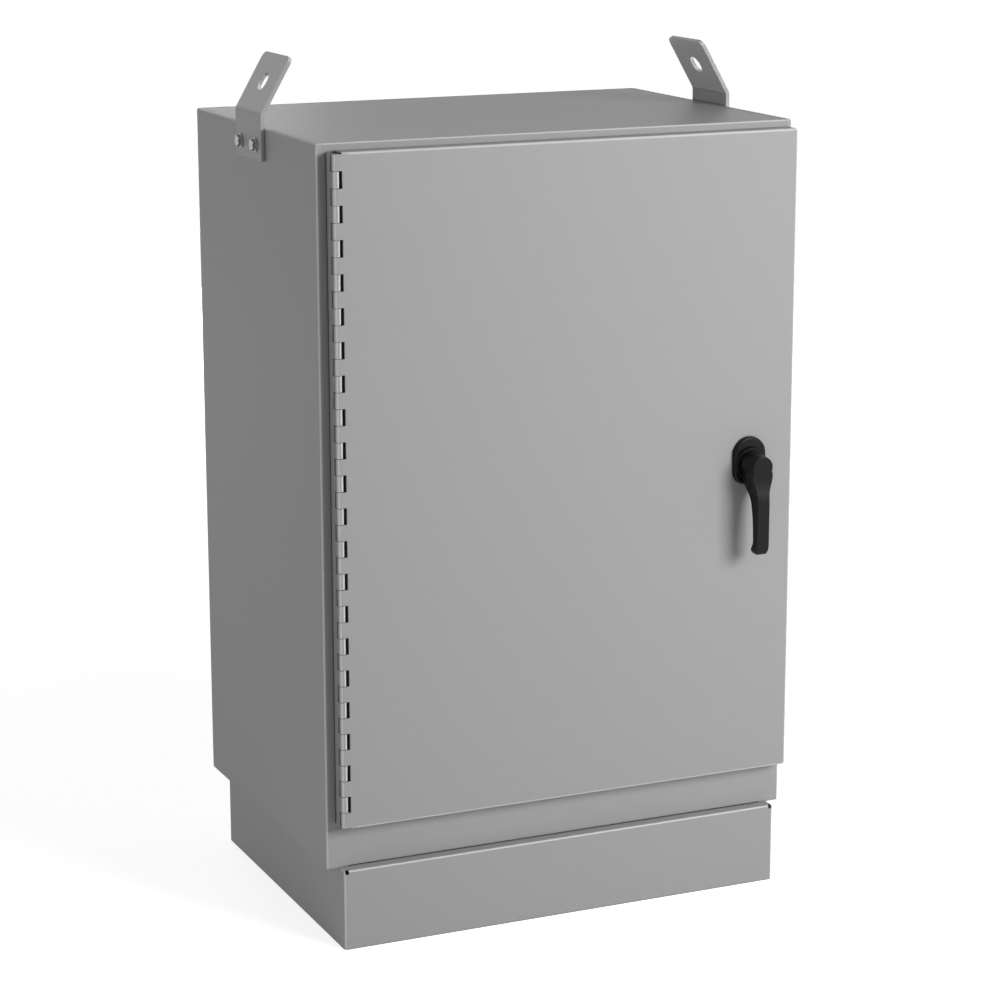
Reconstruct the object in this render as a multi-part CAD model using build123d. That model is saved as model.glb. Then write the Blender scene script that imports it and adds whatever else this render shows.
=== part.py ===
from build123d import *
import os
from math import atan2, cos, degrees, radians, sin

# Cabinet body
BODY_W = 800.0
BODY_D = 558.0
BODY_H = 1128.0
SHEET = 2.0
BACK_BEND = 10.0
FRONT_BEND = 4.0
EDGE_BEND = 3.0
FRAME_SIDE = 36.0
FRAME_TOP = 36.0
FRAME_FOOT = 90.0
TOP_FLANGE = 10.0
ROOF_SEAM = 0.6
ROOF_LAP = 8.0

# Plinth
PLINTH_H = 130.0
PLINTH_SHEET = 2.6
PLINTH_SIDE_INSET = 20.5
PLINTH_PROUD = 21.0
PLINTH_BACK_INSET = 28.0
PLINTH_BEND = 5.0
PLINTH_EDGE_BEND = 3.5
PLINTH_FLANGE = 60.0
PLINTH_RELIEF = 6.0
ANCHOR_D = 14.0
ANCHOR_EDGE = 34.0
PLINTH_BOLT_INSET = 30.0

# Door
DOOR_DEPTH = 30.0
DOOR_TOP_STRIP = 11.0
DOOR_BOTTOM_STRIP = 71.0
DOOR_FREE_STRIP = 4.5
DOOR_BEND = 5.0
DOOR_RETURN_GAP = 3.0
DOOR_LIP = 12.0
GASKET_W = 13.0
GASKET_T = 10.0
SEAL_GAP = 0.3
STIFFENER_W = 50.0
STIFFENER_T = 16.0
STIFFENER_FOOT = 16.0
STIFFENER_SHEET = 1.5
STIFFENER_BEND = 3.0
STIFFENER_INSET = 70.0
STIFFENER_GUIDE_GAP = 27.0
POCKET_SIDE_GAP = 9.0
POCKET_H = 230.0
POCKET_T = 38.0
POCKET_WALL = 2.5
POCKET_ROUND = 12.0
POCKET_RISE = 150.0

# Continuous hinge
HINGE_LINE = 15.7
KNUCKLE_L = 25.4
KNUCKLE_GAP = 0.8
KNUCKLE_NOTCH = 1.2
DOOR_NOTCH = 3.8
PIN_D = 6.35
PIN_CLEAR = 0.075
PIN_RECESS = 2.0
LEAF = 2.25
LEAF_BEND = 4.0
LEAF_FOOT = 17.0
DOOR_LEAF_W = 19.0

# Lifting brackets
LIFT_T = 6.35
LIFT_W = 118.0
LIFT_DROP = 50.0
LIFT_RISE = 20.0
LIFT_ARM = 98.0
LIFT_LEAN = 30.0
LIFT_BEND = 14.0
LIFT_ROUND = 12.0
LIFT_EYE_D = 30.0
LIFT_EYE_UP = 50.0
LIFT_BOLT_SPACING = 67.0
LIFT_BOLT_DROP = 27.0

# Fasteners
BOLT_D = 9.5
BOLT_AF = 16.0
BOLT_HEAD = 6.2
BOLT_NUT = 8.4
BOLT_TAIL = 3.0
BOLT_CHAMFER = 0.9
WASHER_D = 22.0
WASHER_T = 2.0
SCREW_D = 6.0
SCREW_AF = 10.0
SCREW_HEAD = 4.0
SCREW_NUT = 5.0
SCREW_TAIL = 2.0
HOLE_CLEAR = 0.5
THREAD_CLEAR = 0.1

# Handle
HANDLE_INSET = 80.0
HANDLE_DROP = 5.0
PLATE_W = 56.0
PLATE_H = 76.0
PLATE_HEEL = 20.0
PLATE_T = 8.0
PLATE_RISE = 4.0
PLATE_EDGE = 3.0
BOSS_R = 27.0
BOSS_T = 4.0
BOSS_DRAFT = 20.0
HUB_R = 21.5
HUB_FACE_R = 17.8
HUB_H = 37.6
HUB_GAP = 0.4
LEVER_L = 141.0
LEVER_W = 22.5
LEVER_BOW = 4.5
LEVER_EDGE = 1.8
SHAFT_D = 16.0
SHAFT_CLEAR = 0.08
SHAFT_SEAT = 20.0
DRIVE_SIDE = 11.0
DRIVE_CLEAR = 0.1
SLEEVE_R = 13.0
SLEEVE_L = 16.0
SLEEVE_CLEAR = 0.3
SLEEVE_NUT_AF = 36.0
SLEEVE_NUT_T = 7.0
SPACER_R = 12.0
SPACER_GAP = 0.3

# Three-point latch
LATCH_CLEAR = 0.6
CAM_T = 6.0
CAM_R = 25.0
CAM_PIN_R = 16.0
CAM_PIN_D = 8.0
CAM_PIN_PLAY = 0.7
CAM_PIN_ANGLE = 45.0
TONGUE_W = 20.0
TONGUE_BITE = 12.0
CLIP_R = 7.0
CLIP_T = 1.2
CLIP_GAP = 0.3
ROD_GAP = 1.0
ROD_T = 8.0
ROD_W = 23.0
ROD_EYE_WALL = 6.0
FORK_W = 12.6
FORK_TIP = 6.5
FORK_CLEAR = 2.0
ROLLER_SIDE_GAP = 0.3
ROLLER_EDGE_GAP = 4.0
ROLLER_PIN_D = 5.0
ROLLER_PIN_CLEAR = 0.06
ROLLER_PIN_HEAD_R = 3.6
ROLLER_PIN_HEAD = 1.2
GUIDE_INSET = 95.0
GUIDE_W = 44.0
GUIDE_FOOT = 32.0
GUIDE_SHEET = 2.5
GUIDE_BEND = 5.0
GUIDE_OVER = 7.0
GUIDE_CLEAR = 0.3

# Inner fittings
PANEL_W = 690.0
PANEL_H = 990.0
PANEL_SHEET = 2.6
PANEL_RETURN = 18.0
PANEL_BEND = 4.0
PANEL_STAND_OFF = 34.0
PANEL_STUD_INSET = 40.0
PANEL_STUD_SHOULDER_R = 9.0
RAIL_W = 34.0
RAIL_FOOT = 14.0
RAIL_T = 21.0
RAIL_SHEET = 2.0
RAIL_BEND = 3.0
RAIL_END_INSET = 50.0
RAIL_PITCH = 75.0
RAIL_SLOT_W = 7.0
RAIL_SLOT_H = 22.0
RAIL_FRONT_SET = 110.0
RAIL_REAR_SET = 400.0
SHELF_SLOTS = (5, 9)
SHELF_SHEET = 1.5
SHELF_SKIRT = 34.0
SHELF_BEND = 3.0
SHELF_OVER = 30.0
SHELF_SIDE_GAP = 0.3
GLAND_RIM = 30.0
GLAND_T = 2.6
GLAND_SEAL = 2.0
GLAND_ROUND = 12.0
GLAND_ROOM = 70.0
GLAND_COUNT_X = 4
GLAND_COUNT_Y = 3
BAR_L = 220.0
BAR_H = 25.0
BAR_T = 5.0
BAR_UP = 60.0
BAR_LEFT = 60.0
BAR_POST_R = 8.0
BAR_POST_L = 22.0
BAR_POST_INSET = 18.0
BAR_HOLES = 7
BAR_HOLE_D = 6.5

# Cuts run past the faces that they open
OVER = 5.0

# Planes of the body
X_LEFT = -BODY_W / 2
X_RIGHT = BODY_W / 2
PLINTH_W = BODY_W - 2 * PLINTH_SIDE_INSET
PLINTH_D = BODY_D + PLINTH_PROUD - PLINTH_BACK_INSET
Y_PLINTH = -PLINTH_D / 2
Y_FRONT = Y_PLINTH + PLINTH_PROUD
Y_BACK = Y_FRONT + BODY_D
Y_FRAME_BACK = Y_FRONT + SHEET
Z_BASE = PLINTH_H
Z_ROOF = Z_BASE + BODY_H
ROOF_HALF = BODY_W / 2 - TOP_FLANGE - ROOF_SEAM

# Door opening inside the collar
OPEN_LEFT = X_LEFT + FRAME_SIDE + SHEET
OPEN_RIGHT = X_RIGHT - FRAME_SIDE - SHEET
OPEN_BOTTOM = Z_BASE + FRAME_FOOT + SHEET
OPEN_TOP = Z_ROOF - FRAME_TOP - SHEET

# Planes of the door
Y_DOOR = Y_FRONT - DOOR_DEPTH
Y_DOOR_IN = Y_DOOR + SHEET
DOOR_RIGHT = X_RIGHT - DOOR_FREE_STRIP
DOOR_BOTTOM = Z_BASE + DOOR_BOTTOM_STRIP
DOOR_TOP = Z_ROOF - DOOR_TOP_STRIP
DOOR_MID_Z = (DOOR_BOTTOM + DOOR_TOP) / 2

# Hinge line
PIN_BORE_R = PIN_D / 2 + PIN_CLEAR
BARREL_R = PIN_BORE_R + LEAF
HINGE_X = X_LEFT + HINGE_LINE + BARREL_R
HINGE_Y = Y_DOOR + BARREL_R
KNUCKLE_PAIRS = int((DOOR_TOP - DOOR_BOTTOM - KNUCKLE_L) / (2 * KNUCKLE_L))
KNUCKLES = 2 * KNUCKLE_PAIRS + 1
HINGE_BOTTOM = DOOR_MID_Z - KNUCKLES * KNUCKLE_L / 2
HINGE_TOP = DOOR_MID_Z + KNUCKLES * KNUCKLE_L / 2
DOOR_LEFT = HINGE_X + BARREL_R + DOOR_NOTCH
DOOR_SEAM = HINGE_X + DOOR_LEAF_W
DOOR_MID_X = (DOOR_LEFT + DOOR_RIGHT) / 2

# Latch planes
HANDLE_X = DOOR_RIGHT - HANDLE_INSET
HANDLE_Z = DOOR_MID_Z - HANDLE_DROP
Y_PLATE = Y_DOOR - PLATE_T
Y_BOSS = Y_PLATE - BOSS_T
Y_HUB = Y_BOSS - HUB_GAP
Y_SLEEVE_END = Y_DOOR_IN + SLEEVE_L
CAM_Y = Y_FRAME_BACK + LATCH_CLEAR
ROD_Y = CAM_Y + CAM_T + ROD_GAP
ROD_MID_Y = ROD_Y + ROD_T / 2
ROLLER_R = ROD_MID_Y - CAM_Y
CAM_PIN_OFF = CAM_PIN_R * cos(radians(CAM_PIN_ANGLE))
ROD_OFF = (CAM_PIN_R + CAM_PIN_OFF) / 2
ROLLER_SET = ROLLER_R + ROLLER_EDGE_GAP

# Stiffeners clear the rod guides, and the pocket sits between them
STIFFENER_HALF = STIFFENER_W / 2 + STIFFENER_FOOT
GUIDE_EDGE = HANDLE_X - ROD_OFF - GUIDE_W / 2
STIFFENER_OFF = GUIDE_EDGE - STIFFENER_GUIDE_GAP - STIFFENER_HALF - DOOR_MID_X
POCKET_W = 2 * (STIFFENER_OFF - STIFFENER_HALF - POCKET_SIDE_GAP)

# Places of the inner fittings
PANEL_Y = Y_BACK - SHEET - PANEL_STAND_OFF
PANEL_MID_Z = (OPEN_BOTTOM + OPEN_TOP) / 2
RAIL_BOTTOM = Z_BASE + RAIL_END_INSET
RAIL_TOP = Z_ROOF - RAIL_END_INSET
RAIL_SLOTS = int((RAIL_TOP - RAIL_BOTTOM) / RAIL_PITCH)
RAIL_SETS = (Y_FRONT + RAIL_FRONT_SET, Y_FRONT + RAIL_REAR_SET)
GLAND_EDGE = PLINTH_FLANGE + GLAND_RIM + GLAND_ROOM
GLAND_W = PLINTH_W - 2 * GLAND_EDGE
GLAND_D = PLINTH_D - 2 * GLAND_EDGE
BAR_Y = PANEL_Y - PANEL_SHEET - BAR_POST_L

# Lever sections: place along its length, width, back and face
LEVER_SHARES = (
    (0.04, 1.52, 0.05, 0.89),
    (0.16, 1.55, 0.04, 0.89),
    (0.26, 1.16, 0.10, 0.93),
    (0.36, 1.02, 0.37, 0.98),
    (0.47, 1.0, 0.51, 1.0),
    (0.63, 1.0, 0.61, 1.0),
    (0.80, 1.02, 0.66, 0.99),
    (0.89, 1.03, 0.63, 0.98),
    (0.96, 0.97, 0.49, 0.94),
    (1.0, 0.74, 0.59, 0.87),
)


def rect(x0, x1, y0, y1):
    return Pos((x0 + x1) / 2, (y0 + y1) / 2) * Rectangle(x1 - x0, y1 - y0)


def ring(x0, x1, y0, y1, width):
    return rect(x0, x1, y0, y1) - rect(x0 + width, x1 - width, y0 + width, y1 - width)


def along_x(face, x0, x1):
    return extrude(Plane.YZ.offset(x0) * face, x1 - x0, dir=(1, 0, 0))


def along_y(face, y0, y1):
    return extrude(Plane.XZ.offset(-y0) * face, y1 - y0, dir=(0, 1, 0))


def along_z(face, z0, z1):
    return extrude(Plane.XY.offset(z0) * face, z1 - z0, dir=(0, 0, 1))


def folded(points, bends, thickness, side):
    path = FilletPolyline(*points, radius=bends)
    return Face(path.wire().offset_2d(thickness, side=side))


def body_plan(inset):
    plan = rect(X_LEFT + inset, X_RIGHT - inset, Y_FRONT + inset, Y_BACK - inset)
    corners = plan.vertices().sort_by(Axis.Y)
    plan = fillet(corners[:2], FRONT_BEND - inset)
    corners = plan.vertices().filter_by(lambda v: v.Y > Y_BACK - inset - OVER)
    return fillet(corners, BACK_BEND - inset)


def rod_at(axis_plane, d, length):
    return extrude(axis_plane * Circle(d / 2), length)


def hex_head(af, head):
    return extrude(RegularPolygon(af / 2, 6, major_radius=False), head)


def crowned_head(af, head):
    upright = (Align.CENTER, Align.CENTER, Align.MIN)
    crown = Cone(af / 2 + head, af / 2 - BOLT_CHAMFER, head + BOLT_CHAMFER, align=upright)
    return hex_head(af, head) & crown


def hex_bolt(d, af, head, length):
    return hex_head(af, head) + extrude(Circle(d / 2), -length)


def hex_nut(d, af, height):
    outline = RegularPolygon(af / 2, 6, major_radius=False) - Circle(d / 2 + THREAD_CLEAR)
    return extrude(outline, height)


def flat_washer(d):
    return extrude(Circle(WASHER_D / 2) - Circle(d / 2 + HOLE_CLEAR), WASHER_T)


def lift_bolt_points():
    mid = (Y_FRONT + Y_BACK) / 2
    half = LIFT_BOLT_SPACING / 2
    return [(mid - half, Z_ROOF - LIFT_BOLT_DROP), (mid + half, Z_ROOF - LIFT_BOLT_DROP)]


def lift_planes(depth):
    planes = []
    for y, z in lift_bolt_points():
        planes.append(Plane((X_LEFT - depth, y, z), x_dir=(0, 0, 1), z_dir=(-1, 0, 0)))
        planes.append(Plane((X_RIGHT + depth, y, z), x_dir=(0, 0, 1), z_dir=(1, 0, 0)))
    return planes


def plinth_bolt_points():
    x = PLINTH_W / 2 - PLINTH_BOLT_INSET
    y = PLINTH_D / 2 - PLINTH_BOLT_INSET - PLINTH_PROUD
    return [(-x, -y), (x, -y), (-x, y), (x, y)]


def anchor_points():
    x = PLINTH_W / 2 - ANCHOR_EDGE
    y = PLINTH_D / 2 - ANCHOR_EDGE
    return [(-x, -y), (x, -y), (-x, y), (x, y)]


def side_wrapper():
    block = along_z(body_plan(0), Z_BASE, Z_ROOF)
    block = fillet(block.faces().sort_by(Axis.Z)[-1].edges(), EDGE_BEND)
    walls = block - along_z(body_plan(SHEET), Z_BASE - OVER, Z_ROOF - SHEET)
    mouth = rect(X_LEFT + TOP_FLANGE, X_RIGHT - TOP_FLANGE, Y_FRAME_BACK, Y_BACK - TOP_FLANGE)
    brow = rect(-ROOF_HALF, ROOF_HALF, Y_FRONT - OVER, Y_FRAME_BACK)
    walls -= along_z(mouth + brow, Z_ROOF - FRAME_TOP, Z_ROOF + OVER)
    gap = rect(X_LEFT + FRAME_SIDE, X_RIGHT - FRAME_SIDE, Y_FRONT - OVER, Y_FRAME_BACK + OVER)
    walls -= along_z(gap, Z_BASE - OVER, Z_ROOF + OVER)
    holes = [rod_at(p, BOLT_D + 2 * HOLE_CLEAR, -SHEET - 2 * OVER) for p in lift_planes(OVER)]
    return walls - holes


def roof_panel():
    back = Y_BACK - TOP_FLANGE - ROOF_SEAM
    side = ROOF_HALF
    path = [(Y_FRONT, Z_ROOF - FRAME_TOP), (Y_FRONT, Z_ROOF), (back, Z_ROOF)]
    panel = along_x(folded(path, EDGE_BEND, SHEET, Side.RIGHT), -side, side)
    lap = body_plan(SHEET) - rect(-side + ROOF_LAP, side - ROOF_LAP, Y_FRONT, back - ROOF_LAP)
    return panel + along_z(lap, Z_ROOF - 2 * SHEET, Z_ROOF - SHEET)


def floor_panel():
    side = BODY_W / 2 - FRAME_SIDE
    path = [(Y_FRONT, Z_BASE + FRAME_FOOT), (Y_FRONT, Z_BASE), (Y_BACK - SHEET, Z_BASE)]
    panel = along_x(folded(path, EDGE_BEND, SHEET, Side.LEFT), -side, side)
    panel += along_z(body_plan(SHEET), Z_BASE, Z_BASE + SHEET)
    panel -= along_z(gland_outline(0), Z_BASE - OVER, Z_BASE + OVER)
    for x, y in plinth_bolt_points():
        panel -= rod_at(Plane((x, y, Z_BASE - OVER)), BOLT_D + 2 * HOLE_CLEAR, 2 * OVER)
    for x, y in gland_points():
        panel -= rod_at(Plane((x, y, Z_BASE - OVER)), SCREW_D + 2 * HOLE_CLEAR, 2 * OVER)
    return panel


def opening_collar():
    outline = ring(OPEN_LEFT - SHEET, OPEN_RIGHT + SHEET, OPEN_BOTTOM - SHEET, OPEN_TOP + SHEET, SHEET)
    reach = DOOR_DEPTH - SHEET - GASKET_T - SEAL_GAP
    return along_y(outline, Y_FRONT - reach, Y_FRAME_BACK)


def plinth():
    outer = fillet(Rectangle(PLINTH_W, PLINTH_D).vertices(), PLINTH_BEND)
    inner = Rectangle(PLINTH_W - 2 * PLINTH_SHEET, PLINTH_D - 2 * PLINTH_SHEET)
    inner = fillet(inner.vertices(), PLINTH_BEND - PLINTH_SHEET)
    mouth = Rectangle(PLINTH_W - 2 * PLINTH_FLANGE, PLINTH_D - 2 * PLINTH_FLANGE)
    walls = along_z(outer - inner, 0, PLINTH_H)
    walls += along_z(outer - mouth, PLINTH_H - PLINTH_SHEET, PLINTH_H)
    walls += along_z(outer - mouth, 0, PLINTH_SHEET)
    nose = walls.edges().filter_by(Axis.X).filter_by(lambda e: on_plinth_nose(e))
    walls = fillet(nose, PLINTH_EDGE_BEND)
    edge = PLINTH_W / 2 - PLINTH_SHEET
    for x0, x1 in ((-edge, PLINTH_RELIEF - edge), (edge - PLINTH_RELIEF, edge)):
        notch = rect(x0, x1, Y_PLINTH - OVER, Y_PLINTH + PLINTH_SHEET + PLINTH_RELIEF)
        walls -= along_z(notch, PLINTH_H - PLINTH_RELIEF, PLINTH_H + OVER)
    for x, y in anchor_points():
        walls -= rod_at(Plane((x, y, -OVER)), ANCHOR_D, 2 * OVER)
    for x, y in plinth_bolt_points():
        walls -= rod_at(Plane((x, y, PLINTH_H - OVER)), BOLT_D + 2 * HOLE_CLEAR, 2 * OVER)
    return walls


def on_plinth_nose(edge):
    c = edge.center()
    return c.Y < Y_PLINTH + PLINTH_SHEET / 2 and c.Z > PLINTH_H - PLINTH_SHEET / 2


def plinth_bolts():
    grip = SHEET + PLINTH_SHEET + BOLT_NUT + BOLT_TAIL
    bolt = hex_bolt(BOLT_D, BOLT_AF, BOLT_HEAD, grip)
    return [Pos(x, y, Z_BASE + SHEET) * bolt for x, y in plinth_bolt_points()]


def plinth_nuts():
    nut = hex_nut(BOLT_D, BOLT_AF, BOLT_NUT)
    return [Pos(x, y, PLINTH_H - PLINTH_SHEET - BOLT_NUT) * nut for x, y in plinth_bolt_points()]


def lift_arm_point(along, out):
    lean = radians(LIFT_LEAN)
    x = X_LEFT + along * sin(lean) - out * cos(lean)
    z = Z_ROOF + LIFT_RISE + along * cos(lean) + out * sin(lean)
    return x, z


def lifting_bracket():
    mid = (Y_FRONT + Y_BACK) / 2
    path = [(X_LEFT, Z_ROOF - LIFT_DROP), (X_LEFT, Z_ROOF + LIFT_RISE), lift_arm_point(LIFT_ARM, 0)]
    plate = along_y(folded(path, LIFT_BEND, LIFT_T, Side.LEFT), mid - LIFT_W / 2, mid + LIFT_W / 2)
    tip = plate.edges().sort_by(Axis.Z)
    corners = [e for e in tip if is_lift_corner(e)]
    plate = fillet(corners, LIFT_ROUND)
    x, z = lift_arm_point(LIFT_EYE_UP, -OVER)
    lean = radians(LIFT_LEAN)
    eye = Plane((x, mid, z), x_dir=(0, 1, 0), z_dir=(-cos(lean), 0, sin(lean)))
    plate -= rod_at(eye, LIFT_EYE_D, LIFT_T + 2 * OVER)
    starts = lift_planes(LIFT_T + OVER)
    return plate - [rod_at(p, BOLT_D + 2 * HOLE_CLEAR, -LIFT_T - 2 * OVER) for p in starts]


def is_lift_corner(edge):
    x, z = lift_arm_point(LIFT_ARM, LIFT_T / 2)
    c = edge.center()
    return abs(c.Z - z) < LIFT_T / 4 and abs(c.X - x) < LIFT_T / 4 and edge.length < 2 * LIFT_T


def lifting_bolts():
    grip = LIFT_T + WASHER_T + SHEET + BOLT_NUT + BOLT_TAIL
    bolt = crowned_head(BOLT_AF, BOLT_HEAD) + extrude(Circle(BOLT_D / 2), -grip)
    return [p * bolt for p in lift_planes(LIFT_T + WASHER_T)]


def lifting_washers():
    return [p * flat_washer(BOLT_D) for p in lift_planes(LIFT_T)]


def lifting_nuts():
    return [p * hex_nut(BOLT_D, BOLT_AF, BOLT_NUT) for p in lift_planes(-SHEET - BOLT_NUT)]


def knuckle_span(i):
    z = HINGE_BOTTOM + i * KNUCKLE_L
    return z + KNUCKLE_GAP / 2, z + KNUCKLE_L - KNUCKLE_GAP / 2


def knuckle_section(strip):
    barrel = Pos(HINGE_X, HINGE_Y) * Circle(BARREL_R)
    bore = Pos(HINGE_X, HINGE_Y) * Circle(PIN_BORE_R)
    return barrel + strip - bore


def hinge_fixed_leaf():
    x = HINGE_X - BARREL_R
    notch = HINGE_Y + BARREL_R + KNUCKLE_NOTCH
    path = [(x, notch), (x, Y_FRONT), (x + LEAF_FOOT, Y_FRONT)]
    leaf = along_z(folded(path, LEAF_BEND, LEAF, Side.RIGHT), HINGE_BOTTOM, HINGE_TOP)
    section = knuckle_section(rect(x, x + LEAF, HINGE_Y, notch))
    return leaf + [along_z(section, *knuckle_span(i)) for i in range(1, KNUCKLES, 2)]


def hinge_door_leaf():
    strip = rect(DOOR_LEFT, DOOR_SEAM, Y_DOOR, Y_DOOR_IN)
    leaf = along_z(strip, HINGE_BOTTOM, HINGE_TOP)
    section = knuckle_section(rect(HINGE_X, DOOR_LEFT, Y_DOOR, Y_DOOR_IN))
    return leaf + [along_z(section, *knuckle_span(i)) for i in range(0, KNUCKLES, 2)]


def hinge_pin():
    base = Plane((HINGE_X, HINGE_Y, HINGE_BOTTOM + PIN_RECESS))
    return rod_at(base, PIN_D, HINGE_TOP - HINGE_BOTTOM - 2 * PIN_RECESS)


def door_panel():
    depth = DOOR_DEPTH - DOOR_RETURN_GAP
    y_back = Y_DOOR + depth
    outline = rect(DOOR_LEFT, DOOR_RIGHT, DOOR_BOTTOM, DOOR_TOP)
    free = outline.vertices().sort_by(Axis.X)[2:]
    pan = along_y(fillet(free, DOOR_BEND), Y_DOOR, y_back)
    rim = pan.edges().filter_by(lambda e: on_door_rim(e))
    pan = fillet(rim, DOOR_BEND)
    hollow = rect(DOOR_LEFT - OVER, DOOR_RIGHT - SHEET, DOOR_BOTTOM + SHEET, DOOR_TOP - SHEET)
    pan -= along_y(hollow, Y_DOOR_IN, y_back - SHEET)
    edge = SHEET + DOOR_LIP
    mouth = rect(DOOR_LEFT - OVER, DOOR_RIGHT - edge, DOOR_BOTTOM + edge, DOOR_TOP - edge)
    pan -= along_y(mouth, Y_DOOR_IN, y_back + OVER)
    seat = rect(DOOR_LEFT - OVER, DOOR_SEAM, HINGE_BOTTOM, HINGE_TOP)
    pan -= along_y(seat, Y_DOOR - OVER, Y_DOOR_IN + OVER)
    hole = Plane((HANDLE_X, Y_DOOR - OVER, HANDLE_Z), z_dir=(0, 1, 0))
    return pan - rod_at(hole, 2 * (SLEEVE_R + SLEEVE_CLEAR), 2 * OVER)


def on_door_rim(edge):
    box = edge.bounding_box()
    at_face = box.max.Y < Y_DOOR + SHEET / 2
    hinge_side = box.max.X < DOOR_LEFT + SHEET / 2
    return at_face and not hinge_side


def door_gasket():
    grow = SHEET / 2 + GASKET_W / 2
    outline = ring(OPEN_LEFT - grow, OPEN_RIGHT + grow, OPEN_BOTTOM - grow, OPEN_TOP + grow, GASKET_W)
    return along_y(outline, Y_DOOR_IN, Y_DOOR_IN + GASKET_T)


def door_stiffener(side):
    x = DOOR_MID_X + side * STIFFENER_OFF
    half = STIFFENER_W / 2
    y_top = Y_DOOR_IN + STIFFENER_T
    path = [
        (x - half - STIFFENER_FOOT, Y_DOOR_IN),
        (x - half, Y_DOOR_IN),
        (x - half, y_top - STIFFENER_SHEET),
        (x + half, y_top - STIFFENER_SHEET),
        (x + half, Y_DOOR_IN),
        (x + half + STIFFENER_FOOT, Y_DOOR_IN),
    ]
    section = folded(path, STIFFENER_BEND, STIFFENER_SHEET, Side.LEFT)
    return along_z(section, OPEN_BOTTOM + STIFFENER_INSET, OPEN_TOP - STIFFENER_INSET)


def data_pocket():
    z0 = OPEN_BOTTOM + POCKET_RISE
    x0 = DOOR_MID_X - POCKET_W / 2
    outline = rect(x0, x0 + POCKET_W, z0, z0 + POCKET_H)
    outline = fillet(outline.vertices().sort_by(Axis.Y)[:2], POCKET_ROUND)
    box = along_y(outline, Y_DOOR_IN, Y_DOOR_IN + POCKET_T)
    front = box.edges().filter_by(lambda e: e.bounding_box().min.Y > Y_DOOR_IN + POCKET_T / 2)
    low = front.filter_by(lambda e: e.bounding_box().min.Z < z0 + POCKET_H - POCKET_WALL)
    box = fillet(low, POCKET_ROUND - POCKET_WALL)
    top = box.faces().sort_by(Axis.Z)[-1]
    return offset(box, -POCKET_WALL, openings=top)


def plate_outline():
    half = PLATE_W / 2
    top = HANDLE_Z + PLATE_RISE + PLATE_H / 2 - half
    heel = rect(HANDLE_X - half, HANDLE_X + half, HANDLE_Z + PLATE_RISE - PLATE_H / 2, top)
    heel = fillet(heel.vertices().sort_by(Axis.Y)[:2], PLATE_HEEL)
    return heel + Pos(HANDLE_X, top) * Circle(half)


def escutcheon():
    plate = along_y(plate_outline(), Y_PLATE, Y_DOOR)
    plate = fillet(plate.faces().sort_by(Axis.Y)[0].edges(), PLATE_EDGE)
    face = Plane((HANDLE_X, Y_PLATE, HANDLE_Z), z_dir=(0, -1, 0))
    plate += extrude(face * Circle(BOSS_R), BOSS_T, taper=BOSS_DRAFT)
    back = Plane((HANDLE_X, Y_DOOR, HANDLE_Z), z_dir=(0, 1, 0))
    plate += rod_at(back, 2 * SLEEVE_R, SHEET + SLEEVE_L)
    bore = Plane((HANDLE_X, Y_BOSS - OVER, HANDLE_Z), z_dir=(0, 1, 0))
    return plate - rod_at(bore, SHAFT_D + 2 * SHAFT_CLEAR, Y_SLEEVE_END - Y_BOSS + 2 * OVER)


def between(left, right):
    ends = [Line(left[0], right[0]), Line(left[-1], right[-1])]
    return make_face([Spline(*left), Spline(*right)] + ends)


def lever_arm():
    deep = HUB_H + LEVER_BOW
    drops = [HANDLE_Z - LEVER_L * along for along, width, back, face in LEVER_SHARES]
    halves = [LEVER_W * width / 2 for along, width, back, face in LEVER_SHARES]
    backs = [Y_HUB - deep * back for along, width, back, face in LEVER_SHARES]
    faces = [Y_HUB - deep * face for along, width, back, face in LEVER_SHARES]
    side = between(list(zip(backs, drops)), list(zip(faces, drops)))
    left = [(HANDLE_X - half, z) for half, z in zip(halves, drops)]
    right = [(HANDLE_X + half, z) for half, z in zip(halves, drops)]
    arm = along_x(side, HANDLE_X - HUB_R, HANDLE_X + HUB_R)
    arm &= along_y(between(left, right), Y_HUB - 2 * deep, Y_HUB)
    rim = arm.edges().filter_by(lambda e: e.bounding_box().min.Z < drops[0] - LEVER_EDGE)
    return fillet(rim, LEVER_EDGE)


def handle_lever():
    at = Plane((HANDLE_X, Y_HUB, HANDLE_Z), x_dir=(1, 0, 0), z_dir=(0, -1, 0))
    draft = degrees(atan2(HUB_R - HUB_FACE_R, HUB_H))
    hub = extrude(at * Circle(HUB_R), HUB_H, taper=draft)
    hub = fillet(hub.edges().sort_by(Axis.Y)[:1], LEVER_EDGE)
    return hub + lever_arm() - rod_at(at, SHAFT_D, SHAFT_SEAT)


def handle_shaft():
    start = Y_HUB - SHAFT_SEAT
    shaft = rod_at(Plane((HANDLE_X, start, HANDLE_Z), z_dir=(0, 1, 0)), SHAFT_D, CAM_Y - start)
    return shaft + along_y(drive_outline(0), CAM_Y, CAM_Y + CAM_T)


def drive_outline(clear):
    return Pos(HANDLE_X, HANDLE_Z) * Rectangle(DRIVE_SIDE + 2 * clear, DRIVE_SIDE + 2 * clear)


def sleeve_nut():
    at = Plane((HANDLE_X, Y_DOOR_IN, HANDLE_Z), z_dir=(0, 1, 0))
    return at * hex_nut(2 * SLEEVE_R, SLEEVE_NUT_AF, SLEEVE_NUT_T)


def latch_spacer():
    outline = Circle(SPACER_R) - Circle(SHAFT_D / 2 + SHAFT_CLEAR)
    return along_y(Pos(HANDLE_X, HANDLE_Z) * outline, Y_SLEEVE_END + SPACER_GAP, CAM_Y)


def cam_pin_points():
    low = (HANDLE_X - CAM_PIN_OFF, HANDLE_Z - CAM_PIN_OFF)
    high = (HANDLE_X + CAM_PIN_OFF, HANDLE_Z + CAM_PIN_OFF)
    return [low, high]


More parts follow.
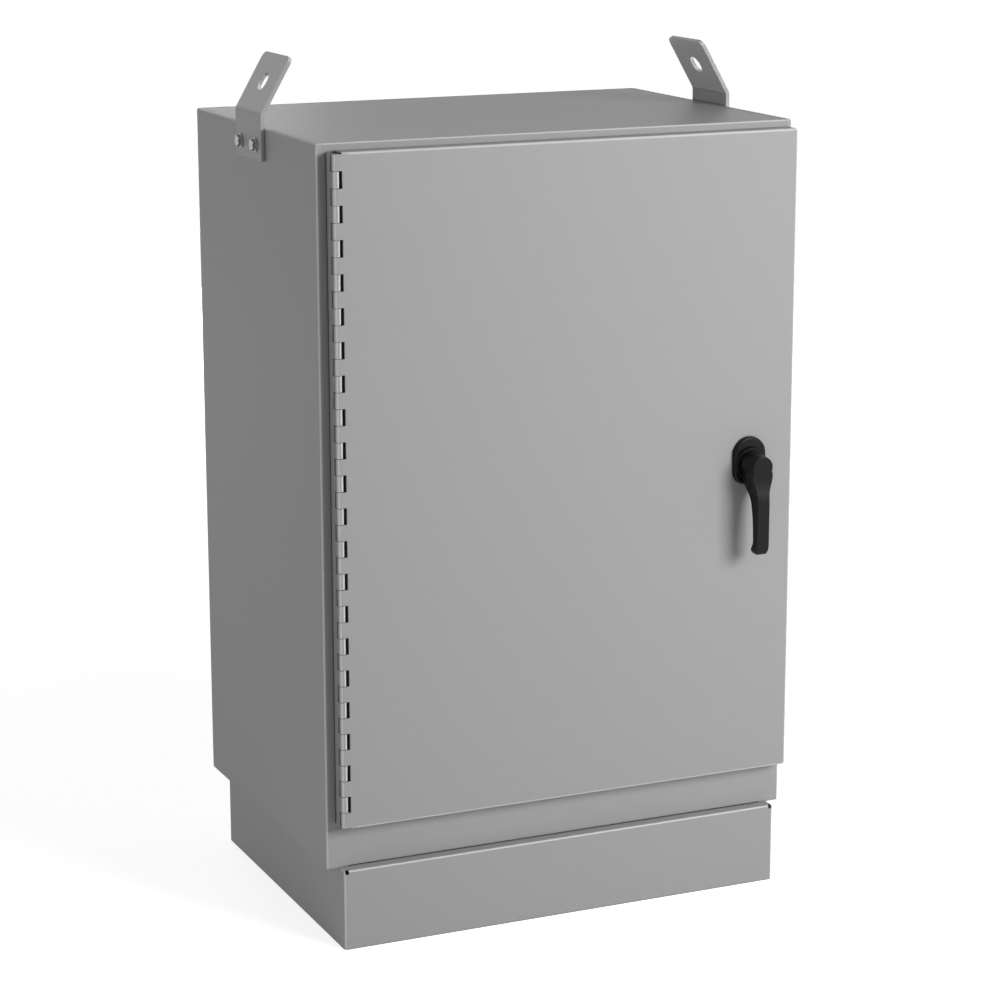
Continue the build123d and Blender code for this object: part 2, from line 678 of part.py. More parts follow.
def latch_cam():
    reach = X_RIGHT - FRAME_SIDE - HANDLE_X + TONGUE_BITE
    tongue = rect(-TONGUE_W / 2, TONGUE_W / 2, 0, reach)
    tongue = fillet(tongue.vertices().sort_by(Axis.Y)[2:], TONGUE_W / 3)
    outline = Pos(HANDLE_X, HANDLE_Z) * (Circle(CAM_R) + tongue) - drive_outline(DRIVE_CLEAR)
    cam = along_y(outline, CAM_Y, CAM_Y + CAM_T)
    length = ROD_GAP + ROD_T + CLIP_GAP + 2 * CLIP_T
    for x, z in cam_pin_points():
        cam += rod_at(Plane((x, CAM_Y + CAM_T, z), z_dir=(0, 1, 0)), CAM_PIN_D, length)
    return cam


def cam_clips():
    y = ROD_Y + ROD_T + CLIP_GAP
    clip = Circle(CLIP_R) - Circle(CAM_PIN_D / 2 + THREAD_CLEAR)
    return [along_y(Pos(x, z) * clip, y, y + CLIP_T) for x, z in cam_pin_points()]


def latch_rod(way):
    x = HANDLE_X - way * ROD_OFF
    eye_z = -CAM_PIN_OFF
    edge = OPEN_TOP - HANDLE_Z if way > 0 else HANDLE_Z - OPEN_BOTTOM
    roller_z = edge - ROLLER_SET
    foot = eye_z - CAM_PIN_D / 2 - CAM_PIN_PLAY - ROD_EYE_WALL
    bar = rect(-ROD_W / 2, ROD_W / 2, foot, roller_z + FORK_TIP)
    bar = fillet(bar.vertices(), ROD_EYE_WALL / 2)
    sweep_w = CAM_PIN_R - CAM_PIN_OFF + CAM_PIN_D + 2 * CAM_PIN_PLAY
    slot_h = CAM_PIN_D + 2 * CAM_PIN_PLAY
    bar -= Pos(0, eye_z) * RectangleRounded(sweep_w, slot_h, CAM_PIN_D / 2)
    bar -= rect(-FORK_W / 2, FORK_W / 2, roller_z - ROLLER_R - FORK_CLEAR, roller_z + FORK_TIP + OVER)
    solid = along_y(Pos(x, HANDLE_Z) * Rot(0, 0, 0 if way > 0 else 180) * bar, ROD_Y, ROD_Y + ROD_T)
    pin = Plane((x - ROD_W, ROD_MID_Y, HANDLE_Z + way * roller_z), z_dir=(1, 0, 0))
    return solid - rod_at(pin, ROLLER_PIN_D + 2 * ROLLER_PIN_CLEAR, 2 * ROD_W)


def roller_plane(way, offset_x):
    edge = OPEN_TOP if way > 0 else OPEN_BOTTOM
    at = (HANDLE_X - way * ROD_OFF + offset_x, ROD_MID_Y, edge - way * ROLLER_SET)
    return Plane(at, z_dir=(1, 0, 0))


def latch_roller(way):
    width = FORK_W - 2 * ROLLER_SIDE_GAP
    outline = Circle(ROLLER_R) - Circle(ROLLER_PIN_D / 2 + ROLLER_PIN_CLEAR)
    return extrude(roller_plane(way, -width / 2) * outline, width)


def roller_pin(way):
    pin = rod_at(roller_plane(way, -ROD_W / 2), ROLLER_PIN_D, ROD_W)
    pin += rod_at(roller_plane(way, ROD_W / 2), 2 * ROLLER_PIN_HEAD_R, ROLLER_PIN_HEAD)
    return pin + rod_at(roller_plane(way, -ROD_W / 2), 2 * ROLLER_PIN_HEAD_R, -ROLLER_PIN_HEAD)


def rod_guide(way):
    z = OPEN_TOP - GUIDE_INSET if way > 0 else OPEN_BOTTOM + GUIDE_INSET
    x = HANDLE_X - way * ROD_OFF
    reach = ROD_Y + ROD_T + GUIDE_OVER
    path = [(Y_DOOR_IN, z - way * GUIDE_FOOT), (Y_DOOR_IN, z), (reach, z)]
    section = folded(path, GUIDE_BEND, GUIDE_SHEET, Side.RIGHT if way > 0 else Side.LEFT)
    guide = along_x(section, x - GUIDE_W / 2, x + GUIDE_W / 2)
    hole = rect(x - ROD_W / 2, x + ROD_W / 2, ROD_Y, ROD_Y + ROD_T)
    hole = offset(hole, GUIDE_CLEAR)
    return guide - along_z(hole, z - GUIDE_SHEET - OVER, z + GUIDE_SHEET + OVER)


def panel_points():
    x = PANEL_W / 2 - PANEL_STUD_INSET
    z = PANEL_H / 2 - PANEL_STUD_INSET
    return [(sx * x, PANEL_MID_Z + sz * z) for sx in (-1, 1) for sz in (-1, 1)]


def mounting_panel():
    outline = rect(-PANEL_W / 2, PANEL_W / 2, PANEL_MID_Z - PANEL_H / 2, PANEL_MID_Z + PANEL_H / 2)
    pan = along_y(outline, PANEL_Y - PANEL_SHEET, PANEL_Y + PANEL_RETURN - PANEL_SHEET)
    rim = pan.faces().sort_by(Axis.Y)[0].edges()
    pan = fillet(rim, PANEL_BEND)
    pan = offset(pan, -PANEL_SHEET, openings=pan.faces().sort_by(Axis.Y)[-1])
    for x, z in panel_points() + bar_points():
        d = BOLT_D if (x, z) in panel_points() else SCREW_D
        pan -= rod_at(Plane((x, PANEL_Y - OVER, z), z_dir=(0, 1, 0)), d + 2 * HOLE_CLEAR, 2 * OVER)
    return pan


def panel_studs():
    studs = []
    for x, z in panel_points():
        wall = Plane((x, Y_BACK - SHEET, z), z_dir=(0, -1, 0))
        stud = rod_at(wall, 2 * PANEL_STUD_SHOULDER_R, PANEL_STAND_OFF)
        studs.append(stud + rod_at(wall, BOLT_D, PANEL_STAND_OFF + PANEL_SHEET + BOLT_NUT + BOLT_TAIL))
    return studs


def panel_nuts():
    nut = hex_nut(BOLT_D, BOLT_AF, BOLT_NUT)
    y = PANEL_Y - PANEL_SHEET
    return [Plane((x, y, z), z_dir=(0, -1, 0)) * nut for x, z in panel_points()]


def slot_z(i):
    spare = RAIL_TOP - RAIL_BOTTOM - (RAIL_SLOTS - 1) * RAIL_PITCH
    return RAIL_BOTTOM + spare / 2 + i * RAIL_PITCH


def equipment_rail(side, y):
    wall = BODY_W / 2 - SHEET
    half = RAIL_W / 2
    deep = wall - RAIL_T
    path = [
        (wall, y - half - RAIL_FOOT),
        (wall, y - half),
        (deep + RAIL_SHEET, y - half),
        (deep + RAIL_SHEET, y + half),
        (wall, y + half),
        (wall, y + half + RAIL_FOOT),
    ]
    rail = along_z(folded(path, RAIL_BEND, RAIL_SHEET, Side.LEFT), RAIL_BOTTOM, RAIL_TOP)
    slot = rect(y - RAIL_SLOT_W / 2, y + RAIL_SLOT_W / 2, -RAIL_SLOT_H / 2, RAIL_SLOT_H / 2)
    rail -= [along_x(Pos(0, slot_z(i)) * slot, deep - OVER, deep + OVER) for i in range(RAIL_SLOTS)]
    return rail if side > 0 else mirror(rail, Plane.YZ)


def shelf_half():
    return BODY_W / 2 - SHEET - RAIL_T - SHELF_SIDE_GAP


def equipment_shelf(slot):
    half = shelf_half()
    top = slot_z(slot) + SHELF_SKIRT / 2
    plan = rect(-half, half, RAIL_SETS[0] - SHELF_OVER, RAIL_SETS[1] + SHELF_OVER)
    tray = along_z(plan, top - SHELF_SKIRT, top)
    tray = fillet(tray.faces().sort_by(Axis.Z)[-1].edges(), SHELF_BEND)
    tray = offset(tray, -SHELF_SHEET, openings=tray.faces().sort_by(Axis.Z)[0])
    for y in RAIL_SETS:
        hole = Plane((-half - OVER, y, slot_z(slot)), z_dir=(1, 0, 0))
        tray -= rod_at(hole, SCREW_D + 2 * HOLE_CLEAR, 2 * half + 2 * OVER)
    return tray


def shelf_planes(inset):
    planes = []
    half = shelf_half() - inset
    for slot in SHELF_SLOTS:
        for y in RAIL_SETS:
            planes.append(Plane((-half, y, slot_z(slot)), z_dir=(1, 0, 0)))
            planes.append(Plane((half, y, slot_z(slot)), z_dir=(-1, 0, 0)))
    return planes


def shelf_screws():
    grip = SHELF_SHEET + SHELF_SIDE_GAP + RAIL_SHEET + SCREW_NUT + SCREW_TAIL
    screw = hex_bolt(SCREW_D, SCREW_AF, SCREW_HEAD, grip)
    return [p * screw for p in shelf_planes(SHELF_SHEET)]


def shelf_nuts():
    behind = -SHELF_SIDE_GAP - RAIL_SHEET - SCREW_NUT
    return [p * hex_nut(SCREW_D, SCREW_AF, SCREW_NUT) for p in shelf_planes(behind)]


def gland_outline(grow):
    return RectangleRounded(GLAND_W + 2 * grow, GLAND_D + 2 * grow, GLAND_ROUND)


def gland_points():
    nx = GLAND_COUNT_X
    ny = GLAND_COUNT_Y
    x = GLAND_W / 2 + GLAND_RIM / 2
    y = GLAND_D / 2 + GLAND_RIM / 2
    rows = [(x * (2 * i / (nx - 1) - 1), s * y) for i in range(nx) for s in (-1, 1)]
    ends = [(s * x, y * (2 * j / (ny - 1) - 1)) for j in range(1, ny - 1) for s in (-1, 1)]
    return rows + ends


def gland_sheet(thickness, low, outline):
    sheet = along_z(outline, low, low + thickness)
    for x, y in gland_points():
        sheet -= rod_at(Plane((x, y, low - OVER)), SCREW_D + 2 * HOLE_CLEAR, thickness + 2 * OVER)
    return sheet


def gland_gasket():
    return gland_sheet(GLAND_SEAL, Z_BASE + SHEET, gland_outline(GLAND_RIM) - gland_outline(0))


def gland_plate():
    return gland_sheet(GLAND_T, Z_BASE + SHEET + GLAND_SEAL, gland_outline(GLAND_RIM))


def gland_screws():
    z = Z_BASE + SHEET + GLAND_SEAL + GLAND_T
    screw = hex_bolt(SCREW_D, SCREW_AF, SCREW_HEAD, SHEET + GLAND_SEAL + GLAND_T + SCREW_TAIL)
    return [Pos(x, y, z) * screw for x, y in gland_points()]


def bar_points():
    x0 = -PANEL_W / 2 + BAR_LEFT
    z = PANEL_MID_Z - PANEL_H / 2 + BAR_UP
    return [(x0 + BAR_POST_INSET, z), (x0 + BAR_L - BAR_POST_INSET, z)]


def earth_bar():
    (x0, z), (x1, z) = bar_points()
    outline = rect(x0 - BAR_POST_INSET, x1 + BAR_POST_INSET, z - BAR_H / 2, z + BAR_H / 2)
    bar = along_y(outline, BAR_Y - BAR_T, BAR_Y)
    step = (x1 - x0) / (BAR_HOLES + 1)
    for i in range(BAR_HOLES + 2):
        d = BAR_HOLE_D if 0 < i <= BAR_HOLES else SCREW_D + 2 * HOLE_CLEAR
        bar -= rod_at(Plane((x0 + i * step, BAR_Y - BAR_T - OVER, z), z_dir=(0, 1, 0)), d, BAR_T + 2 * OVER)
    return bar


def earth_posts():
    outline = Circle(BAR_POST_R) - Circle(SCREW_D / 2 + HOLE_CLEAR)
    return [along_y(Pos(x, z) * outline, BAR_Y, BAR_Y + BAR_POST_L) for x, z in bar_points()]


def earth_screws():
    grip = BAR_T + BAR_POST_L + PANEL_SHEET + SCREW_TAIL
    screw = hex_bolt(SCREW_D, SCREW_AF, SCREW_HEAD, grip)
    return [Plane((x, BAR_Y - BAR_T, z), z_dir=(0, -1, 0)) * screw for x, z in bar_points()]


def all_nodes():
    left_lift = lifting_bracket()
    front, rear = RAIL_SETS
    lower, upper = SHELF_SLOTS
    return {
        "side_wrapper": side_wrapper(),
        "roof_panel": roof_panel(),
        "floor_panel": floor_panel(),
        "opening_collar": opening_collar(),
        "plinth": plinth(),
        "plinth_bolts": plinth_bolts(),
        "plinth_nuts": plinth_nuts(),
        "lifting_bracket_left": left_lift,
        "lifting_bracket_right": mirror(left_lift, Plane.YZ),
        "lifting_bolts": lifting_bolts(),
        "lifting_washers": lifting_washers(),
        "lifting_nuts": lifting_nuts(),
        "hinge_fixed_leaf": hinge_fixed_leaf(),
        "hinge_door_leaf": hinge_door_leaf(),
        "hinge_pin": hinge_pin(),
        "door_panel": door_panel(),
        "door_gasket": door_gasket(),
        "door_stiffener_left": door_stiffener(-1),
        "door_stiffener_right": door_stiffener(1),
        "data_pocket": data_pocket(),
        "escutcheon": escutcheon(),
        "sleeve_nut": sleeve_nut(),
        "handle_lever": handle_lever(),
        "handle_shaft": handle_shaft(),
        "latch_spacer": latch_spacer(),
        "latch_cam": latch_cam(),
        "cam_clips": cam_clips(),
        "upper_rod": latch_rod(1),
        "lower_rod": latch_rod(-1),
        "upper_roller": latch_roller(1),
        "lower_roller": latch_roller(-1),
        "upper_roller_pin": roller_pin(1),
        "lower_roller_pin": roller_pin(-1),
        "upper_rod_guide": rod_guide(1),
        "lower_rod_guide": rod_guide(-1),
        "mounting_panel": mounting_panel(),
        "panel_studs": panel_studs(),
        "panel_nuts": panel_nuts(),
        "rail_left_front": equipment_rail(-1, front),
        "rail_left_rear": equipment_rail(-1, rear),
        "rail_right_front": equipment_rail(1, front),
        "rail_right_rear": equipment_rail(1, rear),
        "lower_shelf": equipment_shelf(lower),
        "upper_shelf": equipment_shelf(upper),
        "shelf_screws": shelf_screws(),
        "shelf_nuts": shelf_nuts(),
        "gland_gasket": gland_gasket(),
        "gland_plate": gland_plate(),
        "gland_screws": gland_screws(),
        "earth_bar": earth_bar(),
        "earth_posts": earth_posts(),
        "earth_screws": earth_screws(),
    }


os.makedirs("parts", exist_ok=True)
for name, shape in all_nodes().items():
    solids = shape if isinstance(shape, list) else [shape]
    group = Compound(children=[s for piece in solids for s in piece.solids()])
    export_step(group, f"parts/{name}.step")
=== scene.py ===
import math

import bpy
import bmesh
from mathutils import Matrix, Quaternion, Vector

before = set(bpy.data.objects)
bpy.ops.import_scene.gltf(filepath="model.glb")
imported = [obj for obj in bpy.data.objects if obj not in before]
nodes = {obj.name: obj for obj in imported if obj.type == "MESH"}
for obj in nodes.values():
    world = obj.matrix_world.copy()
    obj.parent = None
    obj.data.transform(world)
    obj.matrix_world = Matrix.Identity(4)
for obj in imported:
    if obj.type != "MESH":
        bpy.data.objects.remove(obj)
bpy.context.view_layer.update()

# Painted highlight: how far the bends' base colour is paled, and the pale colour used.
BEND_HIGHLIGHT = 0.75
BEND_HIGHLIGHT_COLOUR = (0.86, 0.86, 0.86, 1)
# Painted shade: how far ambient occlusion reaches, and the dark colour it mixes into the gaps.
GAP_REACH = 0.0035
GAP_SHADE_COLOUR = (0.035, 0.035, 0.034, 1)
WELD_REACH = 0.00001
FLAT_ANGLE = math.radians(1.0)
SHARP_ANGLE = math.radians(40.0)
FLOOR_SIZE = 30.0
AIM = Vector((0, 0, 0.68))
PLINTH_HALF_W = 0.378
PLINTH_HALF_D = 0.274
FLOOR_NEAR = 0.74
FLOOR_FAR = 0.90
ROOM_SIDE = 0.20
ROOM_TOP = 0.13
VIEW_AZIMUTH = -23.99
VIEW_HEIGHT = 13.51
VIEW_ROLL = -0.09
VIEW_DISTANCE = 4.7988
VIEW_LENS = 106.08
VIEW_AIM = Vector((-0.0133, -0.050, 0.6378))

# sockets of a colour Mix node
MIX_A, MIX_B, MIX_OUT = 6, 7, 2


def new_finish(name):
    """A fresh material: its node tree and its surface shader."""
    finish = bpy.data.materials.new(name)
    finish.use_nodes = True
    tree = finish.node_tree
    return finish, tree, tree.nodes["Principled BSDF"]


def math_node(tree, operation, first, second):
    """One operation on two values, each a socket or a number."""
    node = tree.nodes.new("ShaderNodeMath")
    node.operation = operation
    for socket, value in zip(node.inputs, (first, second)):
        if isinstance(value, (int, float)):
            socket.default_value = value
        else:
            tree.links.new(value, socket)
    return node.outputs[0]


def axes(tree, kind):
    """The three parts of a coordinate or normal of the surface."""
    place = tree.nodes.new("ShaderNodeTexCoord")
    split = tree.nodes.new("ShaderNodeSeparateXYZ")
    tree.links.new(place.outputs[kind], split.inputs[0])
    return [split.outputs[axis] for axis in "XYZ"]


def grain(tree, scale, detail=2.0, rough=0.5, stretch=(1, 1, 1)):
    """Noise in the piece's own coordinates, about 1/scale metres across."""
    place = tree.nodes.new("ShaderNodeTexCoord")
    turn = tree.nodes.new("ShaderNodeMapping")
    turn.inputs["Scale"].default_value = stretch
    noise = tree.nodes.new("ShaderNodeTexNoise")
    noise.inputs["Scale"].default_value = scale
    noise.inputs["Detail"].default_value = detail
    noise.inputs["Roughness"].default_value = rough
    tree.links.new(place.outputs["Object"], turn.inputs["Vector"])
    tree.links.new(turn.outputs["Vector"], noise.inputs["Vector"])
    return noise.outputs["Fac"]


def tint(tree, fac, shader, low, high):
    """Base colour that runs from low to high with a grain."""
    ramp = tree.nodes.new("ShaderNodeValToRGB")
    ramp.color_ramp.elements[0].position = 0.3
    ramp.color_ramp.elements[1].position = 0.7
    ramp.color_ramp.elements[0].color = (*low, 1)
    ramp.color_ramp.elements[1].color = (*high, 1)
    tree.links.new(fac, ramp.inputs["Fac"])
    tree.links.new(ramp.outputs["Color"], shader.inputs["Base Color"])


def gloss(tree, fac, shader, low, high):
    """Roughness that runs from low to high with a grain."""
    span = tree.nodes.new("ShaderNodeMapRange")
    span.inputs["From Min"].default_value = 0.3
    span.inputs["From Max"].default_value = 0.7
    span.inputs["To Min"].default_value = low
    span.inputs["To Max"].default_value = high
    tree.links.new(fac, span.inputs["Value"])
    tree.links.new(span.outputs["Result"], shader.inputs["Roughness"])


def relief(tree, fac, shader, depth, strength=1.0, under=None):
    """Bump of a given depth in metres, on top of another bump if there is one."""
    bump = tree.nodes.new("ShaderNodeBump")
    bump.inputs["Strength"].default_value = strength
    bump.inputs["Distance"].default_value = depth
    tree.links.new(fac, bump.inputs["Height"])
    if under is not None:
        tree.links.new(under, bump.inputs["Normal"])
    tree.links.new(bump.outputs["Normal"], shader.inputs["Normal"])
    return bump.outputs["Normal"]


def powder_coat(name, colour, spread, rough):
    """Baked enamel on sheet steel: an even grey with orange peel and a slight waviness, with a
    painted highlight on the bends and painted shade in the gaps.
    """
    finish, tree, shader = new_finish(name)
    low = [c * (1 - spread) for c in colour]
    high = [c * (1 + spread) for c in colour]
    tint(tree, grain(tree, 420.0, 3.0), shader, low, high)
    # painted highlight on the bends
    painted_bend_highlight(tree, shader)
    # painted shade in the seams and gaps
    painted_gap_shade(tree, shader)
    gloss(tree, grain(tree, 260.0), shader, rough - 0.03, rough + 0.03)
    peel = relief(tree, grain(tree, 620.0, 1.5), shader, 0.00010, 0.3)
    relief(tree, grain(tree, 34.0, 1.0), shader, 0.0001, 0.2, peel)
    shader.inputs["IOR"].default_value = 1.45
    shader.inputs["Specular IOR Level"].default_value = 0.16
    return finish


def painted_bend_highlight(tree, shader):
    """Painted highlight: a paler base colour on the bends, where the normal lies between two axes,
    standing in for light catching the bends.
    """
    x, y, z = [math_node(tree, "ABSOLUTE", part, 0.0) for part in axes(tree, "Normal")]
    xy, yz, xz = [math_node(tree, "MULTIPLY", *pair) for pair in ((x, y), (y, z), (x, z))]
    turned = math_node(tree, "MAXIMUM", xy, math_node(tree, "MAXIMUM", yz, xz))
    bend_highlight_mask = tree.nodes.new("ShaderNodeMapRange")
    bend_highlight_mask.interpolation_type = "SMOOTHSTEP"
    bend_highlight_mask.inputs["From Min"].default_value = 0.18
    bend_highlight_mask.inputs["From Max"].default_value = 0.46
    bend_highlight_mask.inputs["To Max"].default_value = BEND_HIGHLIGHT
    tree.links.new(turned, bend_highlight_mask.inputs["Value"])
    pale = tree.nodes.new("ShaderNodeMix")
    pale.data_type = "RGBA"
    coat = shader.inputs["Base Color"].links[0].from_socket
    tree.links.new(bend_highlight_mask.outputs["Result"], pale.inputs["Factor"])
    tree.links.new(coat, pale.inputs[MIX_A])
    pale.inputs[MIX_B].default_value = BEND_HIGHLIGHT_COLOUR
    tree.links.new(pale.outputs[MIX_OUT], shader.inputs["Base Color"])


def painted_gap_shade(tree, shader):
    """Painted shade: the base colour darkened by ambient occlusion in the seams and between the
    hinge knuckles.
    """
    close = tree.nodes.new("ShaderNodeAmbientOcclusion")
    close.samples = 4
    close.inputs["Distance"].default_value = GAP_REACH
    unshaded = tree.nodes.new("ShaderNodeMapRange")
    unshaded.inputs["From Min"].default_value = 0.30
    unshaded.inputs["From Max"].default_value = 0.80
    tree.links.new(close.outputs["AO"], unshaded.inputs["Value"])
    gap_shade_mix = tree.nodes.new("ShaderNodeMix")
    gap_shade_mix.data_type = "RGBA"
    coat = shader.inputs["Base Color"].links[0].from_socket
    tree.links.new(unshaded.outputs["Result"], gap_shade_mix.inputs["Factor"])
    gap_shade_mix.inputs[MIX_A].default_value = GAP_SHADE_COLOUR
    tree.links.new(coat, gap_shade_mix.inputs[MIX_B])
    tree.links.new(gap_shade_mix.outputs[MIX_OUT], shader.inputs["Base Color"])


def zinc_plate(name):
    """Bright zinc on fasteners and latch steel, dulled in patches."""
    finish, tree, shader = new_finish(name)
    shader.inputs["Metallic"].default_value = 1.0
    tint(tree, grain(tree, 900.0, 3.0), shader, (0.27, 0.27, 0.265), (0.37, 0.37, 0.36))
    gloss(tree, grain(tree, 320.0, 3.0), shader, 0.22, 0.32)
    relief(tree, grain(tree, 1500.0, 3.0), shader, 0.00003, 0.4)
    return finish


def black_enamel(name):
    """Satin black over a cast handle, with the casting's fine pitting."""
    finish, tree, shader = new_finish(name)
    tint(tree, grain(tree, 300.0, 3.0), shader, (0.0025, 0.0025, 0.003), (0.005, 0.005, 0.0055))
    shader.inputs["Specular IOR Level"].default_value = 0.16
    gloss(tree, grain(tree, 200.0, 3.0), shader, 0.28, 0.36)
    relief(tree, grain(tree, 1100.0, 2.0), shader, 0.00005, 0.3)
    return finish


def sealing_foam(name):
    """Closed-cell foam: matt black with small open cells on its skin."""
    finish, tree, shader = new_finish(name)
    tint(tree, grain(tree, 500.0, 4.0), shader, (0.018, 0.018, 0.018), (0.040, 0.040, 0.040))
    shader.inputs["Roughness"].default_value = 0.9
    relief(tree, grain(tree, 900.0, 3.0), shader, 0.0003, 0.7)
    return finish


def moulded_plastic(name, colour, rough):
    """Moulded plastic with a fine spark texture."""
    finish, tree, shader = new_finish(name)
    low = [c * 0.93 for c in colour]
    high = [c * 1.06 for c in colour]
    tint(tree, grain(tree, 160.0, 3.0), shader, low, high)
    gloss(tree, grain(tree, 300.0, 2.0), shader, rough - 0.05, rough + 0.05)
    relief(tree, grain(tree, 1300.0, 2.0), shader, 0.00005, 0.5)
    return finish


def drawn_copper(name):
    """Drawn bar: bare copper with lines along its length and dull patches."""
    finish, tree, shader = new_finish(name)
    shader.inputs["Metallic"].default_value = 1.0
    lines = grain(tree, 160.0, 2.0, stretch=(0.1, 1, 1))
    tint(tree, lines, shader, (0.70, 0.37, 0.23), (0.80, 0.46, 0.30))
    gloss(tree, grain(tree, 60.0, 3.0), shader, 0.28, 0.38)
    relief(tree, grain(tree, 900.0, 2.0, stretch=(0.04, 1, 1)), shader, 0.00005, 0.5)
    return finish


finishes = {
    "grey_paint": powder_coat("grey_coat", (0.395, 0.396, 0.403), 0.018, 0.43),
    "white_paint": powder_coat("white_coat", (0.74, 0.74, 0.72), 0.02, 0.30),
    "zinc_steel": zinc_plate("zinc_plate"),
    "black_enamel": black_enamel("satin_black"),
    "seal_rubber": sealing_foam("sealing_foam"),
    "nylon": moulded_plastic("natural_nylon", (0.70, 0.69, 0.63), 0.45),
    "pocket_plastic": moulded_plastic("grey_pocket", (0.20, 0.21, 0.22), 0.50),
    "copper": drawn_copper("drawn_copper"),
    "post_plastic": moulded_plastic("red_post", (0.35, 0.05, 0.035), 0.40),
}
# The lifting brackets get a paler copy of the grey coat.
bracket_coat = powder_coat("bracket_coat", (0.445, 0.446, 0.453), 0.018, 0.40)
for name, node in nodes.items():
    for slot in node.material_slots:
        if name.startswith("lifting_bracket"):
            slot.material = bracket_coat
        else:
            slot.material = finishes[slot.material.name.split(".")[0]]


def soften(name, radius, steps):
    """Rounds the sharp edges of one piece."""
    piece = nodes[name]
    weld = piece.modifiers.new("weld", "WELD")
    weld.merge_threshold = WELD_REACH
    flats = piece.modifiers.new("flats", "DECIMATE")
    flats.decimate_type = "DISSOLVE"
    flats.angle_limit = FLAT_ANGLE
    edges = piece.modifiers.new("edges", "BEVEL")
    edges.width = radius
    edges.segments = steps
    edges.limit_method = "ANGLE"
    edges.angle_limit = SHARP_ANGLE
    shade = piece.modifiers.new("shade", "WEIGHTED_NORMAL")
    shade.mode = "FACE_AREA"


soften("door_gasket", 0.0028, 4)
soften("gland_gasket", 0.0004, 2)
soften("side_wrapper", 0.0014, 2)
soften("roof_panel", 0.0014, 2)
for side in ("left", "right"):
    soften("lifting_bracket_" + side, 0.0009, 2)


def studio_floor():
    """A pale floor that reads white to the camera and keeps a soft shadow."""
    sheet = bmesh.new()
    bmesh.ops.create_grid(sheet, x_segments=1, y_segments=1, size=FLOOR_SIZE)
    mesh = bpy.data.meshes.new("studio_floor")
    sheet.to_mesh(mesh)
    sheet.free()
    floor = bpy.data.objects.new("studio_floor", mesh)
    bpy.context.scene.collection.objects.link(floor)
    finish, tree, shader = new_finish("floor_white")
    shader.inputs["Base Color"].default_value = (0.86, 0.86, 0.86, 1)
    shader.inputs["Roughness"].default_value = 0.9
    shader.inputs["Specular IOR Level"].default_value = 0.0
    shader.inputs["Emission Color"].default_value = (1, 1, 1, 1)
    lift = math_node(tree, "MULTIPLY", seen_directly(tree), floor_lift(tree))
    tree.links.new(lift, shader.inputs["Emission Strength"])
    floor.data.materials.append(finish)


def seen_directly(tree):
    """1 for rays from the camera, from gloss and through glass, else 0."""
    path = tree.nodes.new("ShaderNodeLightPath")
    first = math_node(tree, "MAXIMUM", path.outputs["Is Camera Ray"], path.outputs["Is Glossy Ray"])
    return math_node(tree, "MAXIMUM", first, path.outputs["Is Transmission Ray"])


def floor_lift(tree):
    """White of the floor: none inside the plinth, most where the lamps don't reach."""
    place = tree.nodes.new("ShaderNodeTexCoord")
    x, y, _ = axes(tree, "Object")
    wide = math_node(tree, "GREATER_THAN", math_node(tree, "ABSOLUTE", x, 0.0), PLINTH_HALF_W)
    deep = math_node(tree, "GREATER_THAN", math_node(tree, "ABSOLUTE", y, 0.0), PLINTH_HALF_D)
    outside = math_node(tree, "MAXIMUM", wide, deep)
    far = tree.nodes.new("ShaderNodeVectorMath")
    far.operation = "LENGTH"
    tree.links.new(place.outputs["Object"], far.inputs[0])
    rise = tree.nodes.new("ShaderNodeMapRange")
    rise.interpolation_type = "SMOOTHSTEP"
    rise.inputs["From Min"].default_value = 0.8
    rise.inputs["From Max"].default_value = 5.0
    rise.inputs["To Min"].default_value = FLOOR_NEAR
    rise.inputs["To Max"].default_value = FLOOR_FAR
    tree.links.new(far.outputs["Value"], rise.inputs["Value"])
    return math_node(tree, "MULTIPLY", outside, rise.outputs["Result"])


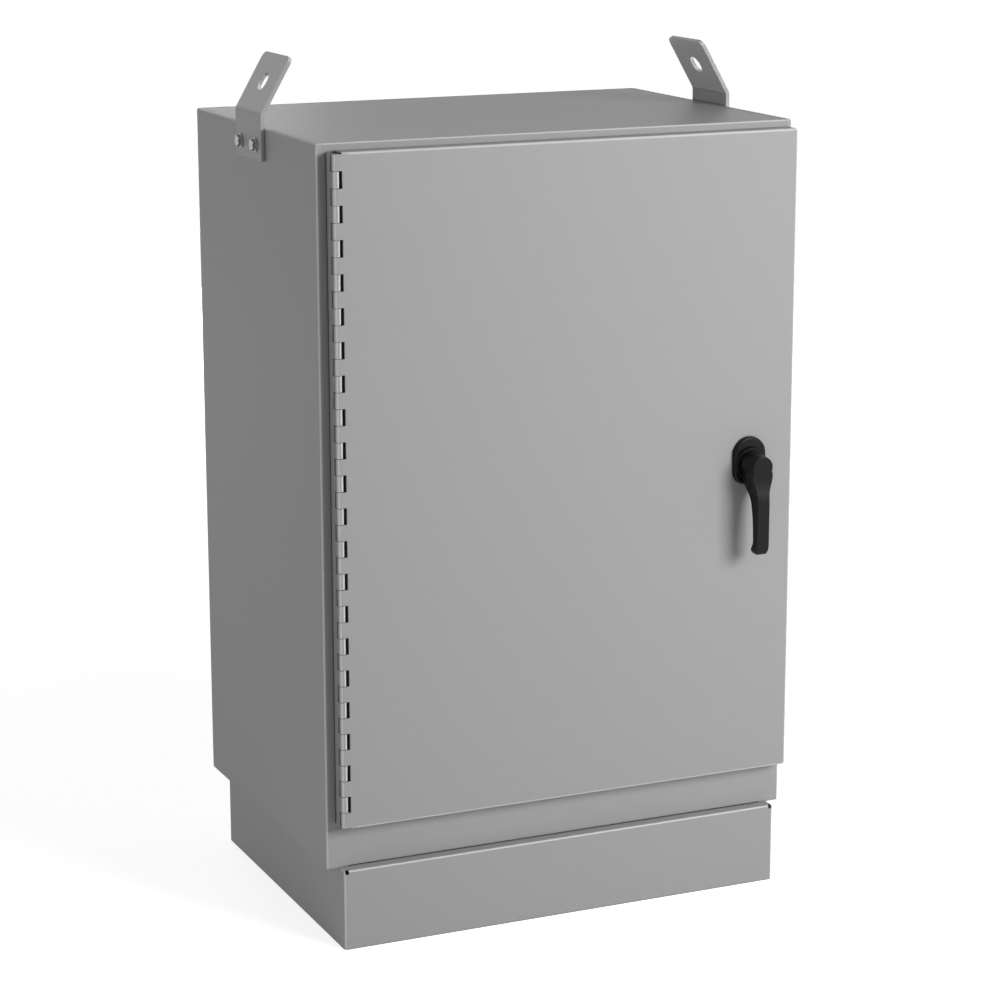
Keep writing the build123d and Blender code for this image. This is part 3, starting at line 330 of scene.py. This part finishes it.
def studio_room():
    """White surroundings that light the object softly, dimmer overhead."""
    room = bpy.data.worlds.new("studio_room")
    bpy.context.scene.world = room
    room.use_nodes = True
    tree = room.node_tree
    back = tree.nodes["Background"]
    fade = tree.nodes.new("ShaderNodeMapRange")
    fade.inputs["From Min"].default_value = 0.0
    fade.inputs["From Max"].default_value = 1.0
    fade.inputs["To Min"].default_value = ROOM_SIDE
    fade.inputs["To Max"].default_value = ROOM_TOP
    tree.links.new(axes(tree, "Generated")[2], fade.inputs["Value"])
    pick = tree.nodes.new("ShaderNodeMix")
    pick.data_type = "FLOAT"
    pick.inputs["B"].default_value = 1.0
    tree.links.new(fade.outputs["Result"], pick.inputs["A"])
    tree.links.new(seen_directly(tree), pick.inputs["Factor"])
    tree.links.new(pick.outputs["Result"], back.inputs["Strength"])
    back.inputs["Color"].default_value = (1, 1, 1, 1)


def direction(azimuth, height):
    """The way from the object to a place at these angles in degrees."""
    a = math.radians(azimuth)
    h = math.radians(height)
    return Vector((math.sin(a) * math.cos(h), -math.cos(a) * math.cos(h), math.sin(h)))


def soft_light(name, azimuth, height, distance, size, power):
    """A square soft box that faces the object, placed by its angles round it."""
    lamp = bpy.data.lights.new(name, "AREA")
    lamp.size = size
    lamp.energy = power
    box = bpy.data.objects.new(name, lamp)
    way = direction(azimuth, height)
    box.location = AIM + way * distance
    box.rotation_euler = (-way).to_track_quat("-Z", "Y").to_euler()
    bpy.context.scene.collection.objects.link(box)


def photo_camera():
    """The photograph's view: front and left side, from a little above."""
    lens = bpy.data.cameras.new("photo_view")
    lens.sensor_width = 36.0
    lens.lens = VIEW_LENS
    view = bpy.data.objects.new("photo_view", lens)
    way = direction(VIEW_AZIMUTH, VIEW_HEIGHT)
    view.location = VIEW_AIM + way * VIEW_DISTANCE
    turn = (-way).to_track_quat("-Z", "Y") @ Quaternion((0, 0, 1), math.radians(VIEW_ROLL))
    view.rotation_euler = turn.to_euler()
    bpy.context.scene.collection.objects.link(view)
    bpy.context.scene.camera = view


studio_floor()
studio_room()
soft_light("key_box", azimuth=27.0, height=18.5, distance=3.8, size=1.6, power=98.5)
soft_light("side_box", azimuth=-95.0, height=24.0, distance=3.4, size=1.6, power=9.8)
soft_light("back_box", azimuth=172.0, height=0.0, distance=6.0, size=2.0, power=150.0)
photo_camera()
bpy.context.scene.view_settings.view_transform = "Standard"
